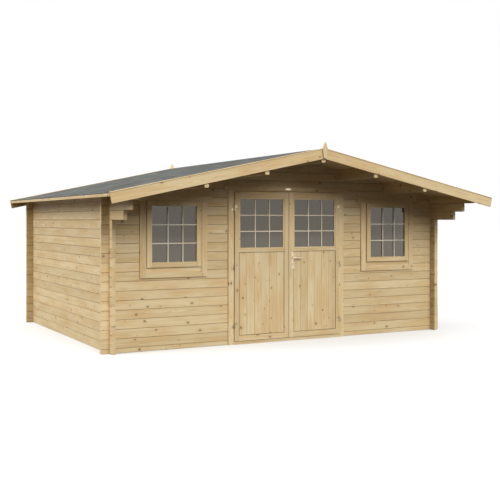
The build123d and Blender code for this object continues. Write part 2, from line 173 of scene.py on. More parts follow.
class Bench:
    """Makes the nodes of one material or world."""

    def __init__(self, name: str, kind: str = "materials") -> None:
        """Start an empty material of this name, or another kind of data with nodes.

        Args:
            name: name of the material or world.
            kind: the collection of Blender's data that holds it.
        """
        self.block = getattr(bpy.data, kind).new(name)
        self.block.use_nodes = True
        self.tree = self.block.node_tree
        self.tree.nodes.clear()

    def add(self, kind: str, settings: dict | None = None, inputs: dict | None = None,
            output: str | int = 0) -> Wire:
        """Add a node of any type.

        Args:
            kind: the node's type name.
            settings: properties, which are set first.
            inputs: socket name or index to a value or a Wire.
            output: the output socket wanted.

        Returns:
            The output as a Wire.
        """
        node = self.tree.nodes.new(kind)
        for key, value in (settings or {}).items():
            setattr(node, key, value)
        for key, value in (inputs or {}).items():
            if isinstance(value, Wire):
                self.tree.links.new(value.socket, node.inputs[key])
            else:
                node.inputs[key].default_value = value
        return Wire(self, node.outputs[output] if len(node.outputs) else None)

    def math(self, operation: str, *values: Wire | float) -> Wire:
        """Add a Math node of this operation on the values."""
        return self.add("ShaderNodeMath", {"operation": operation}, dict(enumerate(values)))

    def split(self, vector: Wire) -> tuple[Wire, Wire, Wire]:
        """Take a vector apart into its three numbers."""
        first = self.add("ShaderNodeSeparateXYZ", None, {0: vector})
        return tuple(Wire(self, socket) for socket in first.socket.node.outputs)

    def join(self, x: Wire | float, y: Wire | float, z: Wire | float) -> Wire:
        """Put three numbers together into a vector."""
        return self.add("ShaderNodeCombineXYZ", None, {0: x, 1: y, 2: z})

    def noise(self, vector: Wire, scale: float = 1.0, detail: float = 2.0,
              roughness: float = 0.5) -> Wire:
        """Noise from 0 to 1 at a vector."""
        inputs = {"Vector": vector, "Scale": scale, "Detail": detail, "Roughness": roughness}
        return self.add("ShaderNodeTexNoise", None, inputs)

    def mix(self, share: Wire | float, first: Wire | Colour, second: Wire | Colour,
            blend: str = "MIX") -> Wire:
        """Mix two colours.

        Args:
            share: how much of the second colour.
            first: colour or Wire.
            second: colour or Wire.
            blend: blending mode.

        Returns:
            The mixed colour.
        """
        colours = [c if isinstance(c, Wire) else (*c, 1.0) for c in (first, second)]
        inputs = {0: share, 6: colours[0], 7: colours[1]}
        settings = {"data_type": "RGBA", "blend_type": blend, "clamp_factor": True}
        return self.add("ShaderNodeMix", settings, inputs, 2)

    def attribute(self, name: str, output: str) -> Wire:
        """Read an attribute of the mesh."""
        return self.add("ShaderNodeAttribute", {"attribute_name": name}, None, output)

    def shown(self) -> Wire:
        """1 on rays that show a surface: to the camera, in gloss or through glass."""
        kinds = ("Is Camera Ray", "Is Glossy Ray", "Is Transmission Ray")
        camera, gloss, through = (self.add("ShaderNodeLightPath", None, None, kind) for kind in kinds)
        return (camera + gloss + through).clamp()

    def close(self, sockets: dict, height: Wire | None = None,
              depth: float = 0.001) -> Material:
        """End the material with its shader.

        Args:
            sockets: values or Wires of the Principled shader's sockets.
            height: relief from 0 to 1.
            depth: the relief's depth in metres.

        Returns:
            The finished material.
        """
        if height is not None:
            bump = {"Height": height, "Strength": 1.0, "Distance": depth}
            sockets = dict(sockets, Normal=self.add("ShaderNodeBump", None, bump))
        shader = self.add("ShaderNodeBsdfPrincipled", None, sockets)
        self.add("ShaderNodeOutputMaterial", None, {"Surface": shader})
        return self.block


@dataclass(frozen=True)
class WoodFinish:
    """Planed softwood: growth rings round a pith, fibres, knots and a tone of its own per board."""

    name: str
    light: Colour = (0.672, 0.535, 0.318)
    late: Colour = (0.500, 0.345, 0.160)
    knot: Colour = (0.265, 0.148, 0.062)
    ring: float = 0.0052
    ring_depth: float = 0.42
    knot_scale: float = 6.6
    knot_share: float = 0.5
    knot_least: float = 0.004
    knot_more: float = 0.011
    knot_stretch: float = 0.78
    board_shift: float = 37.0
    tone_range: float = 0.15
    # Lightness of the joint chamfers: painted shade in the grooves between logs and boards.
    seam_shade: float = 0.72
    roughness: float = 0.62
    relief: float = 0.0005

    def knots(self, b: Bench, along: Wire, wide: Wire, tone: Wire) -> tuple[Wire, Wire, Wire]:
        """Place the knots on the board's face.

        Args:
            b: the material's bench.
            along: place along the grain.
            wide: place across the board's face.
            tone: the board's own number.

        Returns:
            How much a point lies in a knot, in its dark rim and in the bent grain round it.
        """
        cells = b.join(along * self.knot_stretch, wide + tone * self.board_shift, 0.0)
        settings = {"voronoi_dimensions": "2D", "feature": "F1"}
        inputs = {"Vector": cells, "Scale": self.knot_scale, "Randomness": 1.0}
        spot = b.add("ShaderNodeTexVoronoi", settings, inputs, "Distance")
        pick = b.split(b.add("ShaderNodeTexVoronoi", settings, inputs, "Color"))[0]
        least = 1.0 - self.knot_share
        spread = b.math("MAXIMUM", (pick - least) / self.knot_share, 0.0001)
        size = self.knot_least + self.knot_more * spread * spread
        reach = spot / self.knot_scale / size
        present = pick.step(least, least + 0.03)
        strength = (0.35 + spread * 0.75).clamp() * present
        inside = reach.step(1.3, 0.7) * strength
        rim = reach.step(0.5, 0.9) * inside
        halo = reach.step(3.6, 0.9) * strength
        return inside, rim, halo

    def build(self) -> Material:
        """Make the material.

        Returns:
            The material, which reads the grain, tone and shaded_seam attributes; the last gives the
            joint chamfers painted shade.
        """
        b = Bench(self.name)
        tone = b.attribute(TONE, "Fac")
        shaded_seam = b.attribute(SHADED_SEAM, "Fac")
        along, wide, thin = b.split(b.attribute(GRAIN, "Vector"))
        inside, rim, halo = self.knots(b, along, wide, tone)

        wander = b.noise(b.join(along * 0.9, wide * 3.0, thin * 3.0), 1.0, 2.0) - 0.5
        waver = b.noise(b.join(along * 5.0, wide * 12.0, thin * 12.0), 1.0, 1.0) - 0.5
        radius = b.math("SQRT", wide * wide + thin * thin)
        rings = radius + wander * 0.055 + waver * 0.004 + halo * 0.007
        wave = (rings * (2 * math.pi / self.ring)).sine() * 0.5 + 0.5
        late = wave ** 2.2
        fibre = b.noise(b.join(along * 9.0, wide * 420.0, thin * 420.0), 1.0, 3.0, 0.6)
        streak = b.noise(b.join(along * 1.3, wide * 46.0, thin * 46.0), 1.0, 3.0, 0.6)
        patch = b.noise(b.join(along * 1.7, wide * 6.0, thin * 6.0), 1.0, 2.0)

        darken = (late * self.ring_depth + (streak - 0.45) * 1.25 + (fibre - 0.5) * 0.4).clamp()
        colour = b.mix(darken, self.light, self.late)
        warm = b.mix(patch.step(0.38, 0.66), WHITE, (0.93, 0.855, 0.755))
        colour = b.mix(1.0, colour, warm, "MULTIPLY")
        level = 1.0 - self.tone_range * 0.5 + tone * self.tone_range
        shade = b.join(level, level * (0.985 + tone * 0.02), level * (0.95 + tone * 0.06))
        colour = b.mix(1.0, colour, shade, "MULTIPLY")
        colour = b.mix(halo * 0.3, colour, self.late)
        colour = b.mix(inside * 0.8, colour, self.knot)
        colour = b.mix(rim * 0.5, colour, tuple(part * 0.4 for part in self.knot))
        # Painted shade: the joint chamfers are darkened as though the grooves lay in shadow.
        colour = b.mix(shaded_seam, colour, (self.seam_shade,) * 3, "MULTIPLY")
        roughness = (self.roughness + (fibre - 0.5) * 0.16 - inside * 0.12).clamp()
        height = (0.5 + (late - 0.5) * 0.35 + (fibre - 0.5) * 0.5 - inside * 0.25).clamp()
        sockets = {"Base Color": colour, "Roughness": roughness, "Specular IOR Level": 0.3}
        return b.close(sockets, height, self.relief)


@dataclass(frozen=True)
class FeltFinish:
    """Bitumen shingles with mineral granules."""

    name: str
    colour: Colour = (0.046, 0.049, 0.044)
    pale: Colour = (0.138, 0.145, 0.128)
    relief: float = 0.0012

    def build(self) -> Material:
        """Make the material from object coordinates and the tabs' tones.

        Returns:
            The material.
        """
        b = Bench(self.name)
        place = b.add("ShaderNodeTexCoord", None, None, "Object")
        tone = b.attribute(TONE, "Fac")
        granule = b.noise(place, 620.0, 2.0, 0.7)
        blotch = b.noise(place, 9.0, 3.0)
        share = (tone * 0.62 + (granule - 0.5) * 1.3 + (blotch - 0.5) * 0.5).clamp()
        colour = b.mix(share, self.colour, self.pale)
        roughness = (0.72 + granule * 0.2).clamp()
        return b.close({"Base Color": colour, "Roughness": roughness}, granule, self.relief)


@dataclass(frozen=True)
class GlassFinish:
    """Panes whose two faces reflect the pale surroundings over a dark, nearly opaque base, which is
    painted shade standing for the dim inside.
    """

    name: str
    # Dark base at nearly full alpha: painted shade of the inside seen through the panes.
    tint: Colour = (0.034, 0.026, 0.016)
    reflection: Colour = (1.0, 0.90, 0.73)
    density: float = 1.6
    alpha: float = 0.93
    relief: float = 0.002

    def build(self) -> Material:
        """Make the material; the sheets are faintly uneven.

        Returns:
            The material.
        """
        b = Bench(self.name)
        place = b.add("ShaderNodeTexCoord", None, None, "Object")
        waves = b.noise(place, 2.2, 1.0)
        sockets = {
            "Base Color": (*self.tint, 1.0),
            "Alpha": self.alpha,
            "Roughness": (0.04 + waves * 0.05).clamp(),
            "IOR": self.density,
            "Specular IOR Level": 0.85,
            "Specular Tint": (*self.reflection, 1.0),
            "Coat Weight": 0.8,
        }
        return b.close(sockets, waves, self.relief)


@dataclass(frozen=True)
class MetalFinish:
    """Plated or polished metal with fine brushing."""

    name: str
    colour: Colour
    roughness: float = 0.3
    relief: float = 0.0001

    def build(self) -> Material:
        """Make the material, a little duller in patches where hands touch it.

        Returns:
            The material.
        """
        b = Bench(self.name)
        place = b.add("ShaderNodeTexCoord", None, None, "Object")
        stretch = b.add("ShaderNodeMapping", None, {"Vector": place, "Scale": (90.0, 900.0, 900.0)})
        brush = b.noise(stretch, 1.0, 2.0)
        touch = b.noise(place, 30.0, 2.0)
        worn = tuple(part * 0.8 for part in self.colour)
        colour = b.mix((touch - 0.3).clamp() * 0.5, self.colour, worn)
        roughness = (self.roughness + (brush - 0.5) * 0.2 + (touch - 0.5) * 0.1).clamp()
        sockets = {"Base Color": colour, "Metallic": 1.0, "Roughness": roughness}
        return b.close(sockets, brush, self.relief)


@dataclass
class Dice:
    """Seeded random numbers, so that each run is the same."""

    seed: int
    source: random.Random = field(init=False)

    def __post_init__(self) -> None:
        """Start the row of numbers."""
        self.source = random.Random(self.seed)

    def between(self, low: float = 0.0, high: float = 1.0) -> float:
        """Next number between two limits."""
        return self.source.uniform(low, high)


def islands(bm: BMesh) -> list[list[BMVert]]:
    """Split a mesh into its loose parts.

    Args:
        bm: the mesh.

    Returns:
        The vertices of each part.
    """
    left = set(bm.verts)
    found = []
    for seed in bm.verts:
        if seed not in left:
            continue
        group, stack = [], [seed]
        left.discard(seed)
        while stack:
            vert = stack.pop()
            group.append(vert)
            for edge in vert.link_edges:
                other = edge.other_vert(vert)
                if other in left:
                    left.discard(other)
                    stack.append(other)
        found.append(group)
    return found


def timber_axes(spans: Vector, order: tuple[Axis, ...] | None, slope: float) -> list[Vector]:
    """Find the directions along a timber, across its face and through it.

    Args:
        spans: the timber's box.
        order: directions along it and across its face, or None to take its longest two.
        slope: how far its grain falls towards X, in radians.

    Returns:
        The three directions.
    """
    if order is None:
        ranked = sorted(range(3), key=lambda index: -spans[index])
    else:
        ranked = [axis.value for axis in order]
        ranked += [index for index in range(3) if index not in ranked]
    turn = Matrix.Rotation(slope, 3, "Y")
    return [turn @ Vector([float(index == place) for index in range(3)]) for place in ranked]


def grain_timbers(bm: BMesh, dice: Dice, order: tuple[Axis, ...] | None = None,
                  slope: float = 0.0) -> None:
    """Give each loose part grain coordinates along its length, and a tone.

    Args:
        bm: the mesh.
        dice: random numbers for the place of each part in its tree.
        order: the grain's direction and that across the face, or None for the longest two sides.
        slope: fall of the grain away from the ridge, in radians.
    """
    grain = bm.verts.layers.float_vector.new(GRAIN)
    tone = bm.verts.layers.float.new(TONE)
    for group in islands(bm):
        low = Vector([min(v.co[i] for v in group) for i in range(3)])
        high = Vector([max(v.co[i] for v in group) for i in range(3)])
        middle = (low + high) / 2
        along, wide, thin = timber_axes(high - low, order, math.copysign(slope, middle.x))
        shift = dice.between(0.0, TRUNK_LENGTH)
        pith_wide = dice.between(-PITH_ASIDE, PITH_ASIDE)
        pith_thin = dice.between(*PITH_DEPTH)
        value = dice.between()
        for vert in group:
            place = vert.co - middle
            vert[grain] = (
                vert.co.dot(along) + shift,
                place.dot(wide) + pith_wide,
                place.dot(thin) + pith_thin,
            )
            vert[tone] = value


def mark_shaded_seams(bm: BMesh) -> None:
    """Mark the chamfers along the joints, which the wood finishes darken as painted shade in the
    grooves.

    Args:
        bm: the mesh.
    """
    shaded_seam = bm.faces.layers.float.new(SHADED_SEAM)
    for face in bm.faces:
        face[shaded_seam] = float(max(abs(part) for part in face.normal) < 0.93)


def add_box(bm: BMesh, low: Vector | Point,
            high: Vector | Point) -> list[BMVert]:
    """Add a box between two corners.

    Args:
        bm: the mesh to add to.
        low: lowest corner.
        high: highest corner.

    Returns:
        The new vertices.
    """
    low, high = Vector(low), Vector(high)
    place = Matrix.Translation((low + high) / 2) @ Matrix.Diagonal((*(high - low), 1.0))
    return bmesh.ops.create_cube(bm, size=1.0, matrix=place)["verts"]


def add_disc(bm: BMesh, place: Matrix, radius: float, depth: float, segments: int,
             taper: float = 1.0) -> None:
    """Add a disc that faces the front.

    Args:
        bm: the mesh to add to.
        place: where its middle stands, with any stretch.
        radius: its radius at the back.
        depth: its thickness.
        segments: how many sides it has.
        taper: the radius at the front over that at the back.
    """
    bmesh.ops.create_cone(bm, cap_ends=True, segments=segments, radius1=radius,
                          radius2=radius * taper, depth=depth, matrix=place @ FACE_FRONT)


def merged_copy(source: Object) -> BMesh:
    """Copy a CAD mesh, joined and with its flat faces whole.

    Args:
        source: the CAD object.

    Returns:
        The mesh.
    """
    bm = bmesh.new()
    bm.from_mesh(source.data)
    for layer in list(bm.loops.layers.uv):
        bm.loops.layers.uv.remove(layer)
    bmesh.ops.remove_doubles(bm, verts=bm.verts, dist=NEAR)
    bmesh.ops.dissolve_limit(bm, angle_limit=math.radians(0.5), verts=bm.verts, edges=bm.edges)
    return bm


def bevel_edges(bm: BMesh, edges: list[BMEdge], width: float, segments: int = 1,
                clamp: bool = False) -> None:
    """Bevel some edges, flat or in a few facets."""
    bmesh.ops.bevel(bm, geom=edges, offset=width, offset_type="OFFSET", affect="EDGES",
                    segments=segments, profile=0.5, material=-1, clamp_overlap=clamp)


def ease_edges(bm: BMesh, offset: float, segments: int = 2, angle: float = 30.0) -> None:
    """Round the convex edges that are sharper than an angle.

    Args:
        bm: the mesh.
        offset: width of the rounding.
        segments: its facets.
        angle: the least angle between two faces, in degrees.
    """
    sharp = [
        edge for edge in bm.edges
        if len(edge.link_faces) == 2 and edge.is_convex
        and edge.calc_face_angle(0.0) > math.radians(angle)
    ]
    bevel_edges(bm, sharp, offset, segments, clamp=True)


def piece(bm: BMesh, name: str, material: Material) -> Object:
    """Turn a mesh into an object at the origin.

    Args:
        bm: the mesh, which is freed.
        name: the object's name.
        material: its finish.

    Returns:
        The new object.
    """
    mesh = bpy.data.meshes.new(name)
    bm.to_mesh(mesh)
    bm.free()
    mesh.materials.append(material)
    obj = bpy.data.objects.new(name, mesh)
    bpy.context.scene.collection.objects.link(obj)
    log.info("%s: %d faces", name, len(mesh.polygons))
    return obj


@dataclass
class Store:
    """The frame and the finishes that the sub-assemblies share."""

    nodes: dict[str, Object]
    node_body: dict[str, str]
    wood: dict[Wood, Material]
    felt: Material
    glass: Material
    lock_metal: Material
    plate_metal: Material
    hinge_metal: Material

    def settle(self, obj: Object, body: str, slot: str, *nodes: str) -> Object:
        """Make a piece ride on a body, and hide the nodes that it stands for.

        Args:
            obj: the piece.
            body: name of the body that carries it.
            slot: not used.
            nodes: CAD nodes that it replaces.

        Returns:
            The piece.
        """
        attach(obj, body)
        if nodes:
            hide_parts(*nodes)
        return obj


@dataclass
class TimberWork:
    """CAD timbers copied with eased edges, each with a grain and a tone of its own."""

    store: Store
    edge: float = 0.0016
    seed: int = 11

    def dress(self, node: str, finish: Wood, slot: str, order: tuple[Axis, ...] | None = None,
              slope: float = 0.0) -> Object:
        """Replace a node by its eased copy.

        Args:
            node: the CAD node.
            finish: its wood finish.
            slot: material slot of the record.
            order: directions along and across each timber, or None for its longest two.
            slope: fall of the grain away from the ridge, in radians.

        Returns:
            The new piece.
        """
        bm = merged_copy(self.store.nodes[node])
        if finish is Wood.LOG:
            # The chamfers along the log joints get painted shade.
            mark_shaded_seams(bm)
        ease_edges(bm, self.edge)
        grain_timbers(bm, Dice(self.seed + sum(map(ord, node))), order, slope)
        obj = piece(bm, f"{node}_timber", self.store.wood[finish])
        return self.store.settle(obj, self.store.node_body[node], slot, node)


@dataclass
class GlazingBars:
    """Crossing bars on both faces of the panes."""

    store: Store
    width: float = 0.012
    shift: float = 0.008
    set_back: float = 0.001
    gap: float = 0.0002
    count: int = 2
    seed: int = 57

    def build(self, name: str, panes: list[tuple[Vector, Vector]], face: float,
              body: str) -> Object:
        """Make the bars; the upright ones stand a little to the right of even thirds.

        Args:
            name: name of the piece.
            panes: lowest and highest corner of each pane.
            face: place along Y of the sash's or beads' front; the bars keep just behind it.
            body: body that carries them.

        Returns:
            The bars, joined.
        """
        bm = bmesh.new()
        front = face + self.set_back
        half = self.width / 2
        for low, high in panes:
            outer = (front, low.y - self.gap)
            inner = (high.y + self.gap, low.y + high.y - front)
            for near, far in (outer, inner):
                for index in range(1, self.count + 1):
                    share = index / (self.count + 1)
                    x = low.x + (high.x - low.x) * share + self.shift
                    add_box(bm, (x - half, near, low.z), (x + half, far, high.z))
                    z = low.z + (high.z - low.z) * share
                    add_box(bm, (low.x, near + self.gap, z - half), (high.x, far - self.gap, z + half))
        ease_edges(bm, self.width * 0.2)
        grain_timbers(bm, Dice(self.seed))
        return self.store.settle(piece(bm, name, self.store.wood[Wood.BARS]), body, "joinery")


@dataclass
class DoorLeaf:
    """Boarded panel and glazing bars of one door leaf."""

    store: Store
    side: Side
    boards: int = 6
    joint: float = 0.0014
    border: float = 0.008
    seed: int = 31

    @property
    def name(self) -> str:
        """The leaf's name, such as left_leaf."""
        return f"{self.side.name.lower()}_leaf"

    def panel(self) -> Object:
        """Make the panel of upright boards, with fine joints and a bevelled border.

        Returns:
            The panel.
        """
        low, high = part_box(f"{self.name}_panel")
        bm = bmesh.new()
        width = (high.x - low.x) / self.boards
        for index in range(self.boards):
            start = low.x + index * width
            add_box(bm, (start, low.y, low.z), (start + width, high.y, high.z))
        middle = (low + high) / 2
        half = (high - low) / 2
        border = [edge for edge in self.front_edges(bm, low.y) if self.at_border(edge, middle, half)]
        bevel_edges(bm, border, self.border)
        joints = [edge for edge in self.front_edges(bm, low.y) if self.at_joint(edge, low.x, width)]
        bevel_edges(bm, joints, self.joint)
        # The panel's bevelled border and board joints get painted shade.
        mark_shaded_seams(bm)
        grain_timbers(bm, Dice(self.seed + self.side.value), (Axis.Z, Axis.X))
        obj = piece(bm, f"{self.name}_boards", self.store.wood[Wood.JOINERY])
        return self.store.settle(obj, self.name, "joinery", f"{self.name}_panel")

    @staticmethod
    def front_edges(bm: BMesh, front: float) -> list[BMEdge]:
        """Find the edges that lie in the panel's face."""
        return [edge for edge in bm.edges if all(abs(v.co.y - front) < NEAR for v in edge.verts)]

    @staticmethod
    def at_joint(edge: BMEdge, left: float, width: float) -> bool:
        """Tell whether an edge stands at the joint of two boards.

        Args:
            edge: the edge.
            left: the panel's left side.
            width: width of a board.

        Returns:
            True where it does.
        """
        first, second = (vert.co for vert in edge.verts)
        place = (first.x - left) / width
        return abs(first.x - second.x) < NEAR and abs(place - round(place)) < 0.001

    @staticmethod
    def at_border(edge: BMEdge, middle: Vector, half: Vector) -> bool:
        """Tell whether an edge lies along the panel's outline.

        Args:
            edge: the edge.
            middle: the panel's middle.
            half: half its size.

        Returns:
            True where it does.
        """
        first, second = (vert.co - middle for vert in edge.verts)
        return any(
            abs(first[axis] - second[axis]) < NEAR and abs(abs(first[axis]) - half[axis]) < NEAR
            for axis in (Axis.X.value, Axis.Z.value)
        )

    def glazing_bars(self) -> Object:
        """Make the bars that divide the pane.

        Returns:
            The bars, joined.
        """
        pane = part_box(f"{self.name}_glass")
        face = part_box(f"{self.name}_beads")[0].y
        return GlazingBars(self.store).build(f"{self.name}_bars", [pane], face, self.name)


@dataclass
class Windows:
    """Glazing bars of the two windows."""

    store: Store
    bar_shift: float = 0.012
    bar_set_back: float = 0.003

    def panes(self) -> list[tuple[Vector, Vector]]:
        """Find the panes in the window glass node.

        Returns:
            Lowest and highest corner of each pane.
        """
        found = []
        for side in Side:
            mesh = self.store.nodes["window_glass"].data
            verts = [vert.co for vert in mesh.vertices if vert.co.x * side.value > 0]
            low = Vector([min(vert[axis] for vert in verts) for axis in range(3)])
            high = Vector([max(vert[axis] for vert in verts) for axis in range(3)])
            found.append((low, high))
        return found

    def build(self) -> Object:
        """Make the bars of both windows.

        Returns:
            The bars, joined.
        """
        bars = GlazingBars(self.store, shift=self.bar_shift, set_back=self.bar_set_back)
        return bars.build("window_bars", self.panes(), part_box("window_sashes")[0].y, "cabin")


@dataclass
class Boarding:
    """A deck of matched boards side by side, with a V joint where it is seen."""

    store: Store
    width: float = 0.096
    groove: float = 0.003
    floor_joint: float = 0.0004
    floor_edge: float = 0.001
    seed: int = 73

    def board(self, slab: Mesh, start: float, stop: float) -> Mesh:
        """Cut one board from a slope of the roof and chamfer its joints underneath.

        Args:
            slab: the whole slope.
            start: place along Y of the board's front side.
            stop: place along Y of its rear side.

        Returns:
            The board.
        """
        bm = bmesh.new()
        bm.from_mesh(slab)
        for place, keep_front in ((start, False), (stop, True)):
            geometry = bm.verts[:] + bm.edges[:] + bm.faces[:]
            bmesh.ops.bisect_plane(bm, geom=geometry, plane_co=(0, place, 0), plane_no=(0, 1, 0),
                                   clear_outer=keep_front, clear_inner=not keep_front)
            rim = [edge for edge in bm.edges if edge.is_boundary]
            if rim:
                bmesh.ops.contextual_create(bm, geom=rim)
        under = [
            edge for edge in bm.edges
            if len(edge.link_faces) == 2
            and any(face.normal.z < -0.9 for face in edge.link_faces)
            and any(abs(face.normal.y) > 0.9 for face in edge.link_faces)
        ]
        bevel_edges(bm, under, self.groove)
        mesh = bpy.data.meshes.new("board")
        bm.to_mesh(mesh)
        bm.free()
        return mesh

    def roof(self, side: Side) -> Object:
        """Make one slope of roof boards that run from the ridge to the eave.

        Args:
            side: the slope.

        Returns:
            The boards, joined.
        """
        node = f"roof_boards_{side.name.lower()}"
        low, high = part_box(node)
        count = round((high.y - low.y) / self.width)
        pitch = (high.y - low.y) / count
        slab = bpy.data.meshes.new("roof_slab")
        copy = merged_copy(self.store.nodes[node])
        copy.to_mesh(slab)
        copy.free()
        bm = bmesh.new()
        for index in range(count):
            mesh = self.board(slab, low.y + index * pitch, low.y + (index + 1) * pitch)
            bm.from_mesh(mesh)
            bpy.data.meshes.remove(mesh)
        bpy.data.meshes.remove(slab)
        grain_timbers(bm, Dice(self.seed + side.value), (Axis.X, Axis.Y), ROOF_FALL)
        obj = piece(bm, f"{node}_deck", self.store.wood[Wood.ROOF])
        return self.store.settle(obj, "cabin", "roof_boards", node)

    def floor(self) -> Object:
        """Make the floor boards, from side wall to side wall.

        Returns:
            The boards, joined.
        """
        low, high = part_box("floor_boards")
        bm = bmesh.new()
        count = round((high.y - low.y) / self.width)
        pitch = (high.y - low.y) / count
        for index in range(count):
            start = low.y + index * pitch
            stop = start + pitch - self.floor_joint
            add_box(bm, (low.x, start + self.floor_joint, low.z), (high.x, stop, high.z))
        ease_edges(bm, self.floor_edge, 1)
        grain_timbers(bm, Dice(self.seed + 5), (Axis.X, Axis.Y))
        obj = piece(bm, "floor_deck", self.store.wood[Wood.ROOF])
        return self.store.settle(obj, "cabin", "floor_boards", "floor_boards")


@dataclass
class Shingles:
    """Courses of shingle strips with cut tabs, laid from the eave to the ridge."""

    store: Store
    course: float = 0.142
    tab: float = 0.25
    slot_width: float = 0.007
    lap: float = 0.02
    least: float = 0.02
    lift: float = 0.0017
    sink: float = 0.00102
    thick: float = 0.0032
    seat: float = 0.0035
    base: tuple[float, float] = (-0.0022, -0.0012)
    cap_length: float = 0.2
    cap_lap: float = 0.03
    cap_thick: float = 0.003
    cap_lift: float = 0.0016
    cap_drop: float = 0.0045
    cap_depth: float = 0.0056
    seed: int = 91

    def slope(self, side: Side) -> Object:
        """Make the shingles of one slope.

        Args:
            side: the slope.

        Returns:
            The shingles, joined.
        """
        node = f"shingles_{side.name.lower()}"
        low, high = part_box(node)
        rise = high.z - low.z
        run = high.x - low.x
        fall = math.atan2(rise, run)
        length = math.hypot(run, rise)
        count = round(length / self.course)
        pitch = length / count
        dice = Dice(self.seed + side.value)
        bm = bmesh.new()
        tone = bm.verts.layers.float.new(TONE)
        for row in range(count):
            outer = row * pitch
            start = low.y - (row % 2) * self.tab / 2
            while start < high.y - self.least / 2:
                first = max(low.y, start + self.slot_width / 2)
                last = min(high.y, start + self.tab - self.slot_width / 2)
                value = dice.between()
                if last - first > self.least:
                    inner = min(length, (row + 1) * pitch + self.lap)
                    for vert in add_box(bm, (outer, first, 0.0), (inner, last, self.thick)):
                        vert[tone] = value
                        if vert.co.x < outer + self.thick:
                            vert.co.z += self.lift
                        else:
                            vert.co.z -= self.sink
                start += self.tab
        bottom, top = self.base
        for vert in add_box(bm, (0.0, low.y, bottom), (length, high.y, top)):
            vert[tone] = 0.0
        place = Matrix.Translation((low.x, 0.0, low.z + self.seat))
        matrix = place @ Matrix.Rotation(-fall, 4, "Y")
        if side is Side.RIGHT:
            matrix = MIRROR @ Matrix.Translation((-low.x - high.x, 0.0, 0.0)) @ matrix
        bmesh.ops.transform(bm, matrix=matrix, verts=bm.verts)
        if side is Side.RIGHT:
            bmesh.ops.reverse_faces(bm, faces=bm.faces)
        obj = piece(bm, f"{node}_tabs", self.store.felt)
        return self.store.settle(obj, "cabin", "roof_felt", node)

    def ridge(self) -> Object:
        """Make the overlapping caps along the ridge.

        Returns:
            The caps, joined.
        """
        low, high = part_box("ridge_cap")
        half = (high.x - low.x) / 2
        fall = math.atan2(high.z - low.z - self.cap_depth, half)
        count = round((high.y - low.y) / self.cap_length)
        pitch = (high.y - low.y) / count
        place = Matrix.Translation((0.0, 0.0, high.z - self.cap_drop)) @ Matrix.Rotation(fall, 4, "Y")
        dice = Dice(self.seed + 7)
        bm = bmesh.new()
        tone = bm.verts.layers.float.new(TONE)
        for index in range(count):
            value = dice.between()
            start = low.y + index * pitch
            stop = min(high.y, start + pitch + self.cap_lap)
            for side in Side:
                verts = add_box(bm, (0.0, start, 0.0), (half / math.cos(fall), stop, self.cap_thick))
                for vert in verts:
                    vert[tone] = value
                    if vert.co.y > start + self.cap_thick:
                        vert.co.z -= self.cap_lift
                matrix = MIRROR @ place if side is Side.LEFT else place
                bmesh.ops.transform(bm, matrix=matrix, verts=verts)
                if side is Side.LEFT:
                    faces = {face for vert in verts for face in vert.link_faces}
                    bmesh.ops.reverse_faces(bm, faces=list(faces))
        obj = piece(bm, "ridge_caps", self.store.felt)
        return self.store.settle(obj, "cabin", "roof_felt", "ridge_cap")


